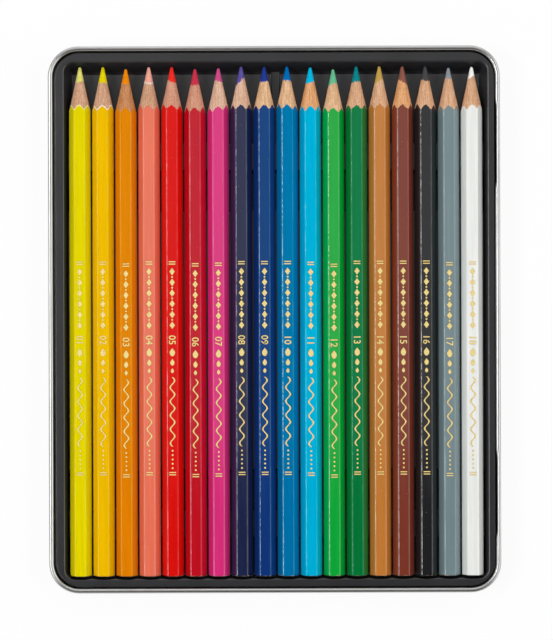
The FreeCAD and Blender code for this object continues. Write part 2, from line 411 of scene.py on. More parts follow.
@dataclass(frozen=True)
class Cedar(Finish):
    """Freshly sharpened cedar with fine fibres along the pencil."""

    tone: CedarTone
    seed: int
    dark_fibre: Colour = (0.86, 0.75, 0.64)
    light_fibre: Colour = (1.14, 1.2, 1.27)
    dark_band: Colour = (0.88, 0.78, 0.66)
    dark_speck: Colour = (0.84, 0.72, 0.6)
    light_speck: Colour = (1.16, 1.24, 1.32)
    pore_shade: float = 0.45
    fibre_depth: float = 0.05 * MM

    def shader(self, book: Book) -> Value:
        """Writes the wood's shader.

        Args:
            book: The material's nodes.

        Returns:
            The shader.
        """
        wood = self.tone.value
        fibre = book.noise((3100, 190, 420), 5, self.seed)
        band = book.noise((800, 50, 200), 2, self.seed + 3)
        pore = book.noise((6200, 260, 600), 1, self.seed + 7).between(0.6, 0.7)
        speck = book.noise((2700, 1500, 2700), 1, self.seed + 11)
        dark, light = scaled_parts(wood, self.dark_fibre), scaled_parts(wood, self.light_fibre)
        tone = book.mix(fibre.between(0.4, 0.6), dark, light)
        tone = book.mix(0.45 * band.between(0.45, 0.7), tone, scaled_parts(wood, self.dark_band))
        tone = book.mix(0.5 * speck.between(0.5, 0.64), tone, scaled_parts(wood, self.dark_speck))
        tone = book.mix(0.5 * (1 - speck.between(0.36, 0.5)), tone, scaled_parts(wood, self.light_speck))
        return book.principled(
            {
                "Base Color": book.mix(0.4 * pore, tone, scaled(wood, self.pore_shade)),
                "Roughness": 0.55 + 0.2 * fibre,
                "Normal": book.bump(fibre, self.fibre_depth),
            }
        )


@dataclass(frozen=True)
class Pigment(Finish):
    """The waxy matt core, turned smooth by the sharpener and a little scuffed."""

    colour: Colour
    shine: Colour
    seed: int
    light_share: float = 1.12
    gloss_level: float = 0.18
    grit_depth: float = 0.02 * MM

    def shader(self, book: Book) -> Value:
        """Writes the core's shader.

        Args:
            book: The material's nodes.

        Returns:
            The shader.
        """
        cloud = book.noise((1500, 700, 1500), 3, self.seed)
        grit = book.noise((6000, 6000, 6000), 2, self.seed + 4)
        light = scaled(self.colour, self.light_share)
        return book.principled(
            {
                "Base Color": book.mix(cloud.between(0.35, 0.7), self.colour, light),
                "Roughness": 0.36 + 0.25 * grit,
                "Specular IOR Level": self.gloss_level,
                "Specular Tint": self.shine,
                "Normal": book.bump(grit, self.grit_depth),
            }
        )


class FoilTone(Enum):
    """The foil's colour inside a mark, and a painted shadow along its edge."""

    BRIGHT = srgb(247, 224, 146)
    SHADED_EDGE = srgb(176, 134, 62)


@dataclass(frozen=True)
class Foil(Finish):
    """Hot-stamped gold foil, rubbed thin in places."""

    tone: FoilTone
    seed: int
    thin: Colour = (0.7, 0.6, 0.4)
    metal_share: float = 0.3
    wear_depth: float = 0.01 * MM

    def shader(self, book: Book) -> Value:
        """Writes the foil's shader.

        Args:
            book: The material's nodes.

        Returns:
            The shader.
        """
        gold = self.tone.value
        wear = book.noise((1700, 700, 1700), 3, self.seed)
        return book.principled(
            {
                "Base Color": book.mix(0.7 * wear.between(0.55, 0.75), gold, scaled_parts(gold, self.thin)),
                "Metallic": self.metal_share,
                "Roughness": 0.3 + 0.2 * wear,
                "Normal": book.bump(wear, self.wear_depth),
            }
        )


@dataclass(frozen=True)
class Tinplate(Finish):
    """Bright tinplate with faint rolling lines and smudges."""

    colour: Colour = srgb(190, 190, 189)
    smudge_shade: float = 0.9

    def shader(self, book: Book) -> Value:
        """Writes the metal's shader.

        Args:
            book: The material's nodes.

        Returns:
            The shader.
        """
        lines = book.noise((2400, 60, 2400), 3)
        smudge = book.noise((60, 60, 60), 3, 4.0)
        smudged = scaled(self.colour, self.smudge_shade)
        return book.principled(
            {
                "Base Color": book.mix(smudge.between(0.35, 0.75), self.colour, smudged),
                "Metallic": 1.0,
                "Roughness": 0.27 + 0.07 * smudge + 0.02 * lines,
            }
        )


@dataclass(frozen=True)
class TrayPlastic(Finish):
    """Satin black sheet, glossier where it is level than where it was drawn over the mould.

    It is painted lighter low in the pocket, as painted light on the well floor and the rib's top,
    and it has two mould marks: a ring and a dot.
    """

    colour: Colour = (0.0112, 0.0114, 0.0132)
    cloud_shade: float = 1.2
    deep: Pair = (2.7 * MM, 3.1 * MM)
    painted_light_share: float = 2.3
    scuff_share: float = 0.35
    mark_share: float = 0.8
    mark_shade: float = 2.2
    ring_mark: Pair = (-55.2 * MM, 80.6 * MM)
    ring_radius: float = 1.53 * MM
    ring_line: float = 0.16 * MM
    dot_mark: Pair = (47.3 * MM, 83.1 * MM)
    dot_fade: Pair = (0.15 * MM, 0.4 * MM)
    grain_depth: float = 0.008 * MM
    edge_rounding: float = 0.4 * MM
    level_ior: float = 1.75
    wall_ior: float = 1.4

    def shader(self, book: Book) -> Value:
        """Writes the sheet's shader.

        Args:
            book: The material's nodes.

        Returns:
            The shader.
        """
        grain = book.noise((4200, 4200, 4200), 2)
        cloud = book.noise((90, 60, 90), 3, 2.0)
        scuff = book.noise((1500, 240, 1500), 3, 6.0).between(0.66, 0.8)
        above_painted_light = book.coordinate("Z").between(*self.deep)
        blemish = (self.scuff_share * scuff).largest(self.mark_share * self.marks(book))
        tone = book.mix(cloud.between(0.35, 0.7), self.colour, scaled(self.colour, self.cloud_shade))
        # Painted light: the sheet is lighter low in the pocket, on the well floor and the rib's top.
        tone = book.mix(above_painted_light, scaled(self.colour, self.painted_light_share), tone)
        tone = book.mix(blemish, tone, scaled(self.colour, self.mark_shade))
        skin = {"Base Color": tone, "Normal": book.bump(grain, self.grain_depth, self.edge_rounding)}
        smooth, rough = 0.23 + 0.08 * grain + 0.06 * cloud, 0.4 + 0.1 * grain
        level = book.principled({**skin, "Roughness": smooth, "IOR": self.level_ior})
        wall = book.principled({**skin, "Roughness": rough, "IOR": self.wall_ior})
        return book.mix_shaders(book.attribute(DRAWN), level, wall)

    def marks(self, book: Book) -> Value:
        """Draws the two mould marks.

        Args:
            book: The material's nodes.

        Returns:
            1 on the marks and 0 elsewhere.
        """
        away, line = self.distance(book, self.ring_mark), self.ring_line
        outside = away.between(self.ring_radius - 2 * line, self.ring_radius - line)
        inside = 1 - away.between(self.ring_radius + line, self.ring_radius + 2 * line)
        dot = 1 - self.distance(book, self.dot_mark).between(*self.dot_fade)
        return (outside * inside).largest(dot)

    def distance(self, book: Book, mark: Pair) -> Value:
        """How far each place is from a mould mark, seen from above.

        Args:
            book: The material's nodes.
            mark: Where the mark is, across and along.

        Returns:
            The distance in metres.
        """
        flat = book.node("ShaderNodeMapping", {}, {"Vector": book.place(), "Scale": (1, 1, 0)})
        ends = {0: flat, 1: (*mark, 0)}
        return book.node("ShaderNodeVectorMath", {"operation": "DISTANCE"}, ends, output="Value")


@dataclass(frozen=True)
class FloorPaper(Finish):
    """White paper that shows as white, and keeps a soft shadow round the tin."""

    shown_white: float = 0.9
    paper: Colour = (0.9, 0.9, 0.9)
    shown_to: tuple[str, ...] = ("Is Camera Ray", "Is Glossy Ray", "Is Transmission Ray")

    def shader(self, book: Book) -> Value:
        """Writes the paper's shader.

        Args:
            book: The material's nodes.

        Returns:
            The shader.
        """
        seen, mirrored, through = (book.node("ShaderNodeLightPath", output=ray) for ray in self.shown_to)
        white = book.node("ShaderNodeEmission", {}, {"Color": WHITE, "Strength": 1.0})
        paper = book.node("ShaderNodeBsdfDiffuse", {}, {"Color": self.paper})
        return book.mix_shaders(self.shown_white * seen.largest(mirrored).largest(through), paper, white)


class Ground(Enum):
    """What shows along the cut edge of the lacquer."""

    HIDDEN = None
    CREAM = srgb(240, 232, 150)
    CHALK = srgb(246, 236, 222)


class Shine(Enum):
    """The colour of a pencil's gloss, which leaves its lacquer's colour full."""

    PLAIN = WHITE
    LEMON = (0.12, 0.2, 0.05)
    GOLD = (0.12, 0.45, 0.04)
    ORANGE = (0.12, 0.9, 0.08)
    SALMON = (0.25, 1.0, 1.0)
    RED = (1.0, 0.35, 0.35)
    ROSE = (1.0, 0.7, 0.85)
    BLUE = (0.3, 1.0, 1.0)
    CYAN = (0.02, 1.0, 1.0)


@dataclass(frozen=True)
class PencilLook:
    """One pencil's colours and the small faults of its sharpening.

    The glint says how strongly its left edges shine. The slant says how far the core's edge lies further
    back on the left than on the right, the reach how much longer the bare core is than usual, and the shift
    how far the sharpener's axis was beside the barrel's, all in millimetres. Glue is a pale line round the
    core.
    """

    name: str
    lacquer: Colour
    core: Colour
    cedar: CedarTone
    shine: Shine
    glint: float
    slant: float
    reach: float
    shift: Pair
    ground: Ground = Ground.HIDDEN
    glue: bool = False


ROW = (
    PencilLook("lemon_yellow", srgb(222, 206, 1), srgb(214, 208, 109), CedarTone.TAWNY, Shine.LEMON,
               0.02, 0.4, 0.0, (0.02, 0.03), Ground.CREAM),
    PencilLook("golden_yellow", srgb(234, 182, 1), srgb(220, 200, 4), CedarTone.TAWNY, Shine.GOLD,
               0.08, 0.1, 0.4, (0.04, 0.0), Ground.CHALK),
    PencilLook("orange", srgb(225, 126, 2), srgb(231, 130, 8), CedarTone.RUSSET, Shine.ORANGE,
               0.08, 0.4, 0.1, (-0.03, -0.04)),
    PencilLook("salmon", srgb(234, 113, 86), srgb(230, 160, 143), CedarTone.TAWNY, Shine.SALMON,
               0.12, -0.2, 0.3, (-0.04, 0.0), glue=True),
    PencilLook("scarlet", srgb(216, 16, 10), srgb(228, 42, 31), CedarTone.RED, Shine.RED,
               0.34, -1.2, 0.0, (-0.07, 0.03)),
    PencilLook("crimson", srgb(189, 9, 27), srgb(193, 44, 69), CedarTone.RED, Shine.ROSE,
               0.34, 0.1, 0.5, (0.0, -0.03)),
    PencilLook("magenta", srgb(214, 43, 121), srgb(197, 70, 128), CedarTone.PALE, Shine.PLAIN,
               0.16, -0.9, -0.6, (0.14, 0.0)),
    PencilLook("violet", srgb(23, 31, 68), srgb(84, 74, 149), CedarTone.PALE, Shine.PLAIN,
               0.34, 2.8, -0.2, (0.02, 0.02)),
    PencilLook("ultramarine", srgb(15, 49, 118), srgb(30, 48, 134), CedarTone.SAND, Shine.BLUE,
               0.4, 0.2, 0.1, (0.05, 0.0)),
    PencilLook("cobalt_blue", srgb(1, 110, 165), srgb(1, 101, 174), CedarTone.SAND, Shine.CYAN,
               0.53, -0.5, -0.3, (-0.06, 0.02)),
    PencilLook("sky_blue", srgb(1, 172, 213), srgb(4, 176, 216), CedarTone.AMBER, Shine.CYAN,
               0.2, 0.9, 0.2, (0.03, -0.03)),
    PencilLook("light_green", srgb(2, 164, 54), srgb(97, 181, 137), CedarTone.SAND, Shine.PLAIN,
               0.46, 0.9, 0.0, (-0.03, -0.02)),
    PencilLook("dark_green", srgb(2, 114, 50), srgb(2, 124, 130), CedarTone.HONEY, Shine.BLUE,
               0.16, 0.6, 0.3, (0.0, -0.02)),
    PencilLook("ochre", srgb(191, 120, 48), srgb(187, 152, 72), CedarTone.HONEY, Shine.PLAIN,
               0.42, 1.7, 0.0, (0.0, 0.04)),
    PencilLook("brown", srgb(121, 52, 36), srgb(132, 80, 65), CedarTone.AMBER, Shine.PLAIN,
               0.5, -1.7, 0.3, (0.0, 0.0)),
    PencilLook("black", srgb(27, 28, 30), srgb(63, 63, 66), CedarTone.HONEY, Shine.PLAIN,
               0.6, -0.4, -0.1, (-0.04, -0.02)),
    PencilLook("grey", srgb(113, 133, 137), srgb(132, 141, 149), CedarTone.HONEY, Shine.PLAIN,
               0.43, 0.0, -1.4, (0.02, 0.05)),
    PencilLook("white", srgb(234, 235, 231), srgb(240, 238, 233), CedarTone.HONEY, Shine.PLAIN,
               0.03, 1.3, -1.5, (0.05, 0.05)),
)


def add_piece(
    name: str,
    form: bmesh.types.BMesh,
    materials: Iterable[bpy.types.Material],
    body: str,
    stands_for: Iterable[str] = (),
) -> bpy.types.Object:
    """Makes a finished form a piece of the object.

    Args:
        name: The piece's name.
        form: Its mesh, in place; it is freed.
        materials: The materials that its faces number.
        body: The body that it moves with.
        stands_for: The solids that it is shown in place of.

    Returns:
        The piece's object.
    """
    mesh = bpy.data.meshes.new(name)
    form.to_mesh(mesh)
    form.free()
    for material in materials:
        mesh.materials.append(material)
    made = bpy.data.objects.new(name, mesh)
    bpy.context.scene.collection.objects.link(made)
    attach(made, body)
    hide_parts(*stands_for)
    LOG.info("%s: %d faces on %s", name, len(mesh.polygons), body)
    return made


def merged_solid(node: str, crease: float) -> bmesh.types.BMesh:
    """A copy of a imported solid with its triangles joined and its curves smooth.

    Args:
        node: The solid's name.
        crease: The angle past which an edge stays sharp, in degrees.

    Returns:
        The joined mesh.
    """
    form = bmesh.new()
    form.from_mesh(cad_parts[node].data)
    bmesh.ops.remove_doubles(form, verts=form.verts, dist=SAME_PLACE)
    for face in form.faces:
        face.smooth = True
    for edge in form.edges:
        edge.smooth = edge.calc_face_angle(math.pi) < math.radians(crease)
    return form


def keep_flats(piece: bpy.types.Object) -> None:
    """Keeps the light even on large flat faces beside small rounded ones."""
    piece.modifiers.new("even light", "WEIGHTED_NORMAL").keep_sharp = True


@dataclass(frozen=True)
class Ripple:
    """An uneven line round a pencil, the same on each run."""

    seed: int
    height: float
    waves: tuple[int, ...]
    weakest: float = 0.4

    def at(self, angle: float) -> float:
        """The line's height at an angle.

        Args:
            angle: The angle round the axis.

        Returns:
            How far the line is moved there.
        """
        chance, total = random.Random(self.seed), 0.0
        for wave in self.waves:
            strength = chance.uniform(self.weakest, 1)
            total += strength * math.sin(wave * angle + chance.uniform(0, math.tau))
        return self.height * total / math.sqrt(len(self.waves))


class Tube:
    """A form that is drawn out of a closed ring, ring after ring."""

    def __init__(self) -> None:
        """Starts with no ring."""
        self.form = bmesh.new()
        self.ring: list[bmesh.types.BMEdge] = []

    def start(self, sides: int, radius: float, along: float, round_off: float = 0.0, cuts: int = 0) -> None:
        """Makes the first ring round the y axis.

        Args:
            sides: How many sides it has, one of them on top.
            radius: From the axis to its corners.
            along: Its place along the axis.
            round_off: How far from a corner the rounding starts, or 0 for none.
            cuts: How many times each long side is divided.
        """
        turn = Matrix.Rotation(math.pi / 2, 4, "X") @ Matrix.Rotation(math.pi / sides, 4, "Z")
        bmesh.ops.create_circle(
            self.form,
            cap_ends=True,
            segments=sides,
            radius=radius,
            matrix=Matrix.Translation((0, along, 0)) @ turn,
        )
        if round_off:
            bmesh.ops.bevel(
                self.form,
                geom=self.form.verts[:],
                offset=round_off,
                offset_type="OFFSET",
                segments=5,
                profile=0.5,
                affect="VERTICES",
                material=-1,
            )
            sides_left = [edge for edge in self.form.edges if edge.calc_length() > round_off]
            bmesh.ops.subdivide_edges(self.form, edges=sides_left, cuts=cuts)
        self.ring = self.form.edges[:]

    def open_start(self) -> None:
        """Takes the face out of the first ring."""
        bmesh.ops.delete(self.form, geom=self.form.faces[:], context="FACES_ONLY")

    def draw(self, place: Place, material: int = 0, crease: bool = False) -> None:
        """Draws the last ring out to a new one.

        Args:
            place: Gives a new point for each point of the last ring.
            material: The number of the new faces' material.
            crease: Whether the last ring stays a sharp edge.
        """
        made = bmesh.ops.extrude_edge_only(self.form, edges=self.ring)["geom"]
        if crease:
            for edge in self.ring:
                edge.smooth = False
        points = {part for part in made if isinstance(part, bmesh.types.BMVert)}
        for point in points:
            point.co = place(point.co)
        for part in made:
            if isinstance(part, bmesh.types.BMFace):
                part.material_index, part.smooth = material, True
        self.ring = [edge for edge in {e for p in points for e in p.link_edges} if set(edge.verts) <= points]

    def close_to(self, ring: list[bmesh.types.BMEdge], material: int) -> None:
        """Joins the last ring to an earlier one with flat faces.

        Args:
            ring: The earlier ring.
            material: The number of the new faces' material.
        """
        for edge in (*self.ring, *ring):
            edge.smooth = False
        for face in bmesh.ops.bridge_loops(self.form, edges=[*self.ring, *ring])["faces"]:
            face.material_index = material

    def cap(self) -> None:
        """Closes the last ring with one face."""
        for face in bmesh.ops.edgeloop_fill(self.form, edges=self.ring)["faces"]:
            face.smooth = True

    def placed(self, axis: Vector) -> bmesh.types.BMesh:
        """Moves the form to its axis and turns its faces outwards.

        Args:
            axis: Where the axis is.

        Returns:
            The finished form.
        """
        bmesh.ops.recalc_face_normals(self.form, faces=self.form.faces)
        bmesh.ops.translate(self.form, verts=self.form.verts, vec=axis)
        return self.form


@dataclass
class FoilStamp:
    """A generic stamp in gold foil: rules, lozenges, the pencil's place in the row, drops, a wave and dots.

    Its marks are drawn one after the other from the pencil's point towards its tail.
    """

    number: int
    width: float = 2.4 * MM
    thickness: float = 0.02 * MM
    sunk: float = 0.008 * MM
    shadow_border: float = 0.06 * MM
    shadow_edging: int = 1
    rule: float = 0.42 * MM
    rule_step: float = 0.8 * MM
    after_rules: float = 3.4 * MM
    mark_size: Pair = (0.8, 1.1)
    lozenges: int = 6
    lozenge_step: float = 3.7 * MM
    dot_size: Pair = (0.3, 0.3)
    dot_sides: int = 14
    before_number: float = 1.4 * MM
    digit_height: float = 2.5 * MM
    digit_boldness: float = 0.02
    digit_steps: int = 3
    digit_weld: float = 1e-5
    after_number: float = 4.2 * MM
    drops: tuple[float, ...] = (1.0, 0.8, 0.6)
    drop_step: float = 3.2 * MM
    drop_gap: float = 0.3 * MM
    drop_sides: int = 24
    drop_taper: float = 1.4
    drop_neck: float = 0.25
    drop_stretch: float = 1.1
    wave_length: float = 24.0 * MM
    wave_count: int = 5
    wave_steps: int = 12
    wave_swing: float = 0.32
    wave_rule: float = 1.4
    after_wave: float = 1.4 * MM
    end_dots: int = 5
    end_dot_step: float = 1.5 * MM

    def shape(self, form: bmesh.types.BMesh, points: list, along: float, size: Pair) -> None:
        """Sizes new points and sets them at a place along the stamp.

        Args:
            form: The stamp's mesh.
            points: The new points, about the origin.
            along: Where they go, from the stamp's start.
            size: How much they are scaled across and along the pencil.
        """
        bmesh.ops.scale(form, verts=points, vec=(size[0], size[1], 1))
        bmesh.ops.translate(form, verts=points, vec=(0, -along, 0))

    def of_width(self, size: Pair, share: float = 1.0) -> Pair:
        """A mark's size across and along, given in stamp widths and scaled by a share."""
        return share * size[0] * self.width, share * size[1] * self.width

    def disc(self, form: bmesh.types.BMesh, sides: int) -> list:
        """Adds a flat disc one unit across, and gives its points."""
        return bmesh.ops.create_circle(form, cap_ends=True, segments=sides, radius=0.5)["verts"]

    def band(self, form: bmesh.types.BMesh, steps: int = 1) -> list:
        """Adds a flat square one unit across, cut into steps along, and gives its points."""
        return bmesh.ops.create_grid(form, x_segments=1, y_segments=steps, size=0.5)["verts"]

    def add_rules(self, form: bmesh.types.BMesh, along: float) -> None:
        """Adds two short rules across the pencil."""
        for step in (0, self.rule_step):
            self.shape(form, self.band(form), along + step, (self.width, self.rule))

    def add_lozenge(self, form: bmesh.types.BMesh, along: float) -> None:
        """Adds a lozenge."""
        self.shape(form, self.disc(form, 4), along, self.of_width(self.mark_size))

    def add_dot(self, form: bmesh.types.BMesh, along: float) -> None:
        """Adds a round dot."""
        self.shape(form, self.disc(form, self.dot_sides), along, self.of_width(self.dot_size))

    def add_drop(self, form: bmesh.types.BMesh, along: float, share: float) -> None:
        """Adds a drop whose point looks towards the pencil's point.

        Args:
            form: The stamp's mesh.
            along: Where it goes, from the stamp's start.
            share: Its share of the full size.
        """
        points = self.disc(form, self.drop_sides)
        for point in points:
            slim = 1.0 - max(0.0, 2 * point.co.y) ** self.drop_taper
            slim = self.drop_neck + (1 - self.drop_neck) * slim if slim > 0 else 0.0
            point.co = Vector((point.co.x * slim, point.co.y * self.drop_stretch, 0))
        self.shape(form, points, along, self.of_width(self.mark_size, share))

    def add_wave(self, form: bmesh.types.BMesh, along: float) -> None:
        """Adds a wavy rule along the pencil.

        Args:
            form: The stamp's mesh.
            along: Where it starts, from the stamp's start.
        """
        points = self.band(form, self.wave_steps * self.wave_count)
        for point in points:
            swing = math.sin(math.tau * self.wave_count * point.co.y)
            point.co.x = self.wave_rule * self.rule * point.co.x + self.wave_swing * self.width * swing
        self.shape(form, points, along + self.wave_length / 2, (1.0, self.wave_length))

    def add_number(self, form: bmesh.types.BMesh, along: float) -> None:
        """Adds the pencil's number, to be read from the point to the tail.

        Args:
            form: The stamp's mesh.
            along: Where its middle is, from the stamp's start.
        """
        letters = bpy.data.curves.new("stamp number", "FONT")
        letters.body, letters.align_x, letters.align_y = f"{self.number:02d}", "CENTER", "CENTER"
        letters.resolution_u, letters.offset = self.digit_steps, self.digit_boldness
        writer = bpy.data.objects.new("stamp number", letters)
        bpy.context.scene.collection.objects.link(writer)
        bpy.context.view_layer.update()
        flat = bpy.data.meshes.new_from_object(writer.evaluated_get(bpy.context.evaluated_depsgraph_get()))
        bpy.data.objects.remove(writer)
        bpy.data.curves.remove(letters)
        before = set(form.verts)
        form.from_mesh(flat)
        bpy.data.meshes.remove(flat)
        loose = [point for point in form.verts if point not in before]
        bmesh.ops.remove_doubles(form, verts=loose, dist=self.digit_weld)
        points = [point for point in form.verts if point not in before]
        foot, head = min(point.co.y for point in points), max(point.co.y for point in points)
        bmesh.ops.translate(form, verts=points, vec=(0, -(head + foot) / 2, 0))
        bmesh.ops.rotate(form, verts=points, matrix=Matrix.Rotation(-math.pi / 2, 3, "Z"))
        size = self.digit_height / (head - foot)
        self.shape(form, points, along, (size, size))

    def draw_marks(self, form: bmesh.types.BMesh) -> None:
        """Draws all marks flat, one after the other.

        Args:
            form: The stamp's mesh, still empty.
        """
        along = 0.0
        self.add_rules(form, along)
        along += self.after_rules
        for mark in range(self.lozenges):
            self.add_lozenge(form, along)
            if mark + 1 < self.lozenges:
                self.add_dot(form, along + self.lozenge_step / 2)
            along += self.lozenge_step
        along += self.before_number
        self.add_number(form, along)
        along += self.after_number
        for share in self.drops:
            self.add_drop(form, along, share)
            along += self.drop_step * share + self.drop_gap
        self.add_wave(form, along)
        along += self.wave_length + self.after_wave
        for _ in range(self.end_dots):
            self.add_dot(form, along)
            along += self.end_dot_step
        self.add_rules(form, along)

    def build(self, start: Vector) -> bmesh.types.BMesh:
        """Makes the whole stamp, with a painted shadow as a darker edge round each mark.

        Args:
            start: The stamp's first place, on the barrel's upper face.

        Returns:
            The stamp's mesh, in place.
        """
        form = bmesh.new()
        self.draw_marks(form)
        bmesh.ops.recalc_face_normals(form, faces=form.faces)
        # A darker ring round each mark: a painted shadow of the stamped relief.
        shadow_edging = bmesh.ops.inset_region(
            form, faces=form.faces[:], use_boundary=True, use_even_offset=True, thickness=self.shadow_border
        )
        for face in shadow_edging["faces"]:
            face.material_index = self.shadow_edging
        bmesh.ops.solidify(form, geom=form.faces[:], thickness=self.thickness)
        lowest = min(point.co.z for point in form.verts)
        bmesh.ops.translate(form, verts=form.verts, vec=start + Vector((0, 0, -lowest - self.sunk)))
        bmesh.ops.recalc_face_normals(form, faces=form.faces)
        return form


class Coat(IntEnum):
    """The numbers of the casing's materials."""

    LACQUER = 0
    GROUND = 1
    WOOD = 2


@dataclass
class Pencil:
    """One hexagonal pencil: lacquered casing, bare cone, core and foil stamp."""

    look: PencilLook
    number: int
    half_angle: float = math.radians(12)
    core_radius: float = 1.5 * MM
    core_play: float = 0.01 * MM
    core_sides: int = 96
    core_start: float = 5 * MM
    bore_start: float = 2 * MM
    point_radius: float = 0.49 * MM
    point_height: float = 0.4 * MM
    point_rings: tuple[float, ...] = (0.4, 0.75, 1.0)
    point_turns: tuple[float, ...] = (25, 50, 72)
    lacquer_cut: float = 0.05 * MM
    ground_cut: float = 0.09 * MM
    tail_edge: float = 0.15 * MM
    face_cuts: int = 8
    edge_rounding: float = 0.6 * MM
    edge_rubbed: float = 4.6
    peak_power: float = 1.3
    peak_depth: float = 0.78
    cut_height: float = 0.22 * MM
    cut_waves: tuple[int, ...] = (4, 7, 13, 19, 29, 38)
    cut_share: float = 0.5
    core_height: float = 0.085 * MM
    core_waves: tuple[int, ...] = (3, 7, 11, 16, 22, 27)
    core_seed: int = 40
    glue_line: float = 0.09 * MM
    stamp_from_point: float = 67.5 * MM
    low: Vector = field(init=False)
    high: Vector = field(init=False)
    axis: Vector = field(init=False)
    shift: Vector = field(init=False)
    flats: float = field(init=False)
    point: float = field(init=False)
    apex: float = field(init=False)
    cut_line: Ripple = field(init=False)
    core_line: Ripple = field(init=False)

    def __post_init__(self) -> None:
        """Takes the pencil's place and size from its solids."""
        self.low, self.high = (Vector(corner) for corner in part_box(f"{self.look.name}_casing"))
        self.axis = Vector(((self.low.x + self.high.x) / 2, 0, (self.low.z + self.high.z) / 2))
        self.shift = Vector((self.look.shift[0] * MM, 0, self.look.shift[1] * MM))
        self.flats = (self.high.z - self.low.z) / 2
        self.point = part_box(f"{self.look.name}_core")[1][1]
        self.apex = self.point - self.point_height + self.point_radius / math.tan(self.half_angle)
        self.cut_line = Ripple(self.number, self.cut_height, self.cut_waves)
        self.core_line = Ripple(self.number + self.core_seed, self.core_height, self.core_waves)

    def on_cone(self, radius: float, angle: float, lift: float = 0.0) -> Vector:
        """The point of the sharpened cone at a radius and an angle.

        Args:
            radius: From the cone's axis.
            angle: Round that axis, from the right.
            lift: How far further along the pencil the point is moved.

        Returns:
            The point, from the barrel's axis.
        """
        along = self.apex - radius / math.tan(self.half_angle) + lift
        return self.shift + Vector((radius * math.cos(angle), along, radius * math.sin(angle)))

    def polar(self, point: Vector) -> Pair:
        """The radius and angle of a point about the cone's axis."""
        off = point - self.shift
        return math.hypot(off.x, off.z), math.atan2(off.z, off.x)

    def core_edge(self, angle: float) -> float:
        """The radius at which the core comes out of the wood, at an angle."""
        back = self.look.reach - self.look.slant / 2 * math.cos(angle)
        return self.core_radius + back * MM * math.tan(self.half_angle) + self.core_line.at(angle)

    def to_core_edge(self, point: Vector) -> Vector:
        """The point of the core's edge at a point's angle."""
        angle = self.polar(point)[1]
        return self.on_cone(self.core_edge(angle), angle)

    def to_glue(self, point: Vector) -> Vector:
        """The point of the glue's outer edge at a point's angle."""
        angle = self.polar(point)[1]
        return self.on_cone(self.core_edge(angle) + self.glue_line, angle)

    def peaked(self, point: Vector) -> float:
        """How far a cut edge falls back beside a face's middle, as the blade tears the lacquer.

        Args:
            point: A point of the barrel's side.

        Returns:
            The way towards the tail, against an even cut.
        """
        off_middle = abs(math.degrees(math.atan2(point.z, point.x)) % FACE_ANGLE - FACE_ANGLE / 2)
        slope = math.tan(math.radians(off_middle))
        corner = 1 / math.cos(HALF_FACE) - 1
        even = (math.hypot(1, slope) - 1) / corner
        torn = self.peak_depth * (slope / math.tan(HALF_FACE)) ** self.peak_power
        return self.flats * corner * (torn - even) / math.tan(self.half_angle)

    def into_bore(self, point: Vector) -> Vector:
        """The point of the bore a little behind the core's edge."""
        angle, radius = math.atan2(point.z, point.x), self.core_radius
        return Vector((radius * math.cos(angle), point.y - self.bore_start, radius * math.sin(angle)))

    def casing(self) -> bmesh.types.BMesh:
        """Builds the lacquered barrel with its scalloped edge, the bare cone and the bore.

        Returns:
            The casing's mesh; its faces are numbered by coat.
        """
        ground = self.look.ground is not Ground.HIDDEN
        cut = self.ground_cut if ground else self.lacquer_cut
        rounding = self.edge_rounding * math.tan(HALF_FACE)
        tube = Tube()
        tube.start(SIDES, self.flats / math.cos(HALF_FACE), self.low.y, rounding, self.face_cuts)
        tube.open_start()
        first = tube.ring
        inside = 1 - self.tail_edge / self.flats
        bmesh.ops.scale(tube.form, verts=tube.form.verts, vec=(inside, 1, inside))

        def full(point: Vector) -> Vector:
            """The full barrel, just in front of the tail's broken edge."""
            return Vector((point.x / inside, self.low.y + self.tail_edge, point.z / inside))

        def past_edge(point: Vector) -> Vector:
            """A ring just past the broken edge, which keeps its rounding from spreading along the barrel."""
            return point + Vector((0, 2 * self.tail_edge, 0))

        def scallop(point: Vector) -> Vector:
            """Where the cone leaves the barrel's side."""
            radius, angle = self.polar(point)
            return self.on_cone(radius, angle, self.cut_share * self.cut_line.at(angle) - self.peaked(point))

        def bared(point: Vector) -> Vector:
            """Where the wood starts, past the cut lacquer."""
            radius, angle = self.polar(point)
            return self.on_cone(radius - cut, angle, self.cut_line.at(angle) - self.peaked(point))

        def pared(point: Vector) -> Vector:
            """Half-way up the bare cone."""
            radius, angle = self.polar(point)
            return self.on_cone((radius + self.core_edge(angle)) / 2, angle)

        def tail(point: Vector) -> Vector:
            """The bore's end at the tail."""
            return Vector((point.x, self.low.y, point.z))

        tube.draw(full)
        tube.draw(past_edge)
        tube.draw(scallop)
        tube.draw(bared, Coat.GROUND if ground else Coat.LACQUER, crease=True)
        tube.draw(pared, Coat.WOOD, crease=True)
        tube.draw(self.to_glue, Coat.WOOD)
        tube.draw(self.to_core_edge, Coat.GROUND if self.look.glue else Coat.WOOD)
        tube.draw(self.into_bore, Coat.WOOD, crease=True)
        tube.draw(tail, Coat.WOOD)
        tube.close_to(first, Coat.WOOD)
        self.mark_edges(tube.form)
        return tube.placed(self.axis)

    def mark_edges(self, form: bmesh.types.BMesh) -> None:
        """Marks the barrel's edges for the lacquer: 1 on the left ones, -1 on the right ones.

        Args:
            form: The casing's mesh, still round the y axis.
        """
        rub = form.verts.layers.float.new(EDGE_RUB)
        for point in form.verts:
            off_corner = math.degrees(math.atan2(point.co.z, point.co.x)) % FACE_ANGLE
            on_edge = min(off_corner, FACE_ANGLE - off_corner) < self.edge_rubbed
            point[rub] = -math.copysign(1.0, point.co.x) if on_edge else 0.0

    def core(self) -> bmesh.types.BMesh:
        """Builds the core, from its end in the tail to its blunt point.

        Returns:
            The core's mesh.
        """
        wood_edge = self.apex - self.core_radius / math.tan(self.half_angle)

        def straight(point: Vector) -> Vector:
            """The end of the core's straight length, a little behind the wood's edge."""
            return Vector((point.x, wood_edge - self.core_start, point.z))

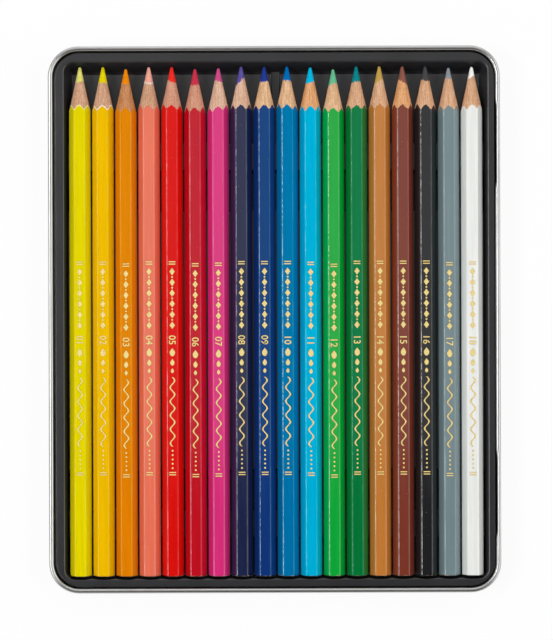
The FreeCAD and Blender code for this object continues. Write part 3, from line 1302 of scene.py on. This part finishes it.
        def along_cone(share: float) -> Place:
            """Places a ring on the bare core.

            Args:
                share: Its share of the way to the blunt point.

            Returns:
                What gives the ring's points.
            """

            def place(point: Vector) -> Vector:
                """The ring's point at this point's angle."""
                angle = self.polar(point)[1]
                return self.on_cone((1 - share) * self.core_edge(angle) + share * self.point_radius, angle)

            return place

        def round_off(turn: float) -> Place:
            """Places a ring on the blunt point.

            Args:
                turn: Its angle up from the point's foot.

            Returns:
                What gives the ring's points.
            """
            along = self.point - self.point_height + self.point_height * math.sin(turn)

            def place(point: Vector) -> Vector:
                """The ring's point at this point's angle."""
                ring = self.on_cone(self.point_radius * math.cos(turn), self.polar(point)[1])
                return Vector((ring.x, along, ring.z))

            return place

        tube = Tube()
        tube.start(self.core_sides, self.core_radius - self.core_play, self.low.y)
        tube.draw(straight, crease=True)
        tube.draw(self.to_core_edge)
        for share in self.point_rings:
            tube.draw(along_cone(share))
        for turn in self.point_turns:
            tube.draw(round_off(math.radians(turn)))
        tube.cap()
        return tube.placed(self.axis)

    def build(self) -> None:
        """Adds the pencil's pieces and dresses them."""
        look, name, number = self.look, self.look.name, self.number
        body, wood, shine = f"pencil_{name}", look.cedar.value, look.shine.value
        coat = Lacquer(look.lacquer, wood, shine, look.glint, self.low.y, number)
        bare = Ground.CHALK if look.glue else look.ground
        lacquer = coat.material(f"{name} lacquer")
        ground = Primer(bare.value or look.lacquer, number).material(f"{name} ground")
        cedar = Cedar(look.cedar, number).material(f"{name} cedar")
        pigment = Pigment(look.core, shine, number).material(f"{name} pigment")
        foil = Foil(FoilTone.BRIGHT, number).material(f"{name} foil")
        # The foil's darker edge material is a painted shadow of the stamp's relief.
        shadow_edging = Foil(FoilTone.SHADED_EDGE, number).material(f"{name} foil shadow edge")
        coats, slot, solid = (lacquer, ground, cedar), f"{name}_lacquer", f"{name}_casing"
        add_piece(f"{name}_barrel", self.casing(), coats, body, (solid,))
        add_piece(f"{name}_point", self.core(), (pigment,), body, (f"{name}_core",))
        start = Vector((self.axis.x, self.point - self.stamp_from_point, self.high.z))
        add_piece(f"{name}_foil", FoilStamp(number).build(start), (foil, shadow_edging), body)


@dataclass
class TinBase:
    """The flat tin with its rolled rim."""

    crease: float = 40.0

    def build(self) -> None:
        """Adds the tin and dresses it."""
        metal = Tinplate().material("tinplate")
        form = merged_solid("tin_base", self.crease)
        keep_flats(add_piece("tin_shell", form, (metal,), "tin", ("tin_base",)))


@dataclass
class Tray:
    """The formed tray that the pencils lie in."""

    crease: float = 34.0
    drawn_gain: float = 2.0
    drawn_from: float = 0.2

    def build(self) -> None:
        """Adds the tray, with its steep faces marked as drawn, and dresses it."""
        sheet = TrayPlastic().material("tray black")
        form = merged_solid("tray_insert", self.crease)
        drawn = form.faces.layers.float.new(DRAWN)
        for face in form.faces:
            steep = self.drawn_gain * (1 - abs(face.normal.z)) - self.drawn_from
            face[drawn] = min(1.0, max(0.0, steep))
        keep_flats(add_piece("tray_sheet", form, (sheet,), "tray", ("tray_insert",)))


@dataclass(frozen=True)
class Softbox:
    """One soft lamp, given by how bright it looks rather than by its power, and whether gloss mirrors it."""

    name: str
    brightness: float
    size: Pair
    place: tuple[float, float, float]
    aim: tuple[float, float, float] = (0.0, 0.0, 0.0)
    mirrored: bool = True

    def build(self) -> None:
        """Hangs the lamp."""
        lamp = bpy.data.lights.new(self.name, "AREA")
        lamp.shape = "RECTANGLE"
        lamp.size, lamp.size_y = self.size
        lamp.energy = self.brightness * math.pi * self.size[0] * self.size[1]
        hung = bpy.data.objects.new(self.name, lamp)
        hung.location = self.place
        hung.rotation_euler = (Vector(self.aim) - Vector(self.place)).to_track_quat("-Z", "Y").to_euler()
        hung.visible_camera = False
        hung.visible_glossy = self.mirrored
        bpy.context.scene.collection.objects.link(hung)


@dataclass
class Studio:
    """The paper floor, the lamps, the room's light and the camera over the tin."""

    photo_height: float = 220.8 * MM
    camera_height: float = 0.9
    sensor: float = 36.0
    rim_height: float = 9.5 * MM
    off_centre: Pair = (0.69 * MM, -0.2 * MM)
    roll: float = math.radians(-0.18)
    room_light: float = 0.04
    room_fade: Pair = (0.1, 0.5)
    floor_half: float = 3.0
    floor_drop: float = 0.05 * MM
    lamps: tuple[Softbox, ...] = (
        Softbox("overhead", 0.35, (1.3, 1.14), (0.0, 0.455, 1.26), (0.0, 0.455, 0.0)),
        Softbox("left strip", 6.2, (0.9, 0.45), (-0.73, -0.03, 0.96), (0.0, -0.03, 0.0)),
        Softbox("far bank", 1.5, (1.6, 0.8), (0.0, 1.2, 0.9)),
        Softbox("near bank", 0.65, (1.6, 0.8), (0.0, -1.2, 0.9), mirrored=False),
        Softbox("right fill", 2.2, (1.5, 0.8), (0.9, -0.05, 0.8), (0.0, -0.05, 0.0)),
    )

    def build(self) -> None:
        """Sets up the studio."""
        scene = bpy.context.scene
        scene.view_settings.view_transform = "Standard"
        for lamp in self.lamps:
            lamp.build()
        self.build_room(scene)
        self.build_floor(scene)
        self.build_camera(scene)

    def build_room(self, scene: bpy.types.Scene) -> None:
        """Makes the room white all round and dim overhead.

        Args:
            scene: The scene that it surrounds.
        """
        room = bpy.data.worlds.new("room")
        scene.world = room
        book = Book(room)
        way = book.node("ShaderNodeTexCoord", output="Generated")
        height = book.node("ShaderNodeSeparateXYZ", {}, {"Vector": way}, output="Z")
        level = 1 - (1 - self.room_light) * height.between(*self.room_fade)
        light = book.node("ShaderNodeBackground", {}, {"Color": WHITE, "Strength": level})
        book.node("ShaderNodeOutputWorld", {}, {"Surface": light})

    def build_floor(self, scene: bpy.types.Scene) -> None:
        """Lays the paper that the tin stands on.

        Args:
            scene: The scene that gets it.
        """
        form = bmesh.new()
        bmesh.ops.create_grid(form, x_segments=1, y_segments=1, size=self.floor_half)
        bmesh.ops.translate(form, verts=form.verts, vec=(0, 0, -self.floor_drop))
        mesh = bpy.data.meshes.new("paper_floor")
        form.to_mesh(mesh)
        form.free()
        mesh.materials.append(FloorPaper().material("floor paper"))
        floor = bpy.data.objects.new("paper_floor", mesh)
        scene.collection.objects.link(floor)

    def build_camera(self, scene: bpy.types.Scene) -> None:
        """Hangs the camera straight over the tin.

        Args:
            scene: The scene that looks through it.
        """
        lens = bpy.data.cameras.new("overhead camera")
        lens.sensor_width = self.sensor
        lens.lens = self.sensor * self.camera_height / self.photo_height
        camera = bpy.data.objects.new("overhead camera", lens)
        camera.location = (*self.off_centre, self.camera_height + self.rim_height)
        camera.rotation_euler = (0, 0, self.roll)
        scene.collection.objects.link(camera)
        scene.camera = camera


def main() -> None:
    """Builds the studio and the object, piece by piece."""
    logging.basicConfig(level=logging.INFO, format="%(message)s")
    Studio().build()
    TinBase().build()
    Tray().build()
    for number, look in enumerate(ROW, 1):
        Pencil(look, number).build()


if __name__ == "__main__":
    main()
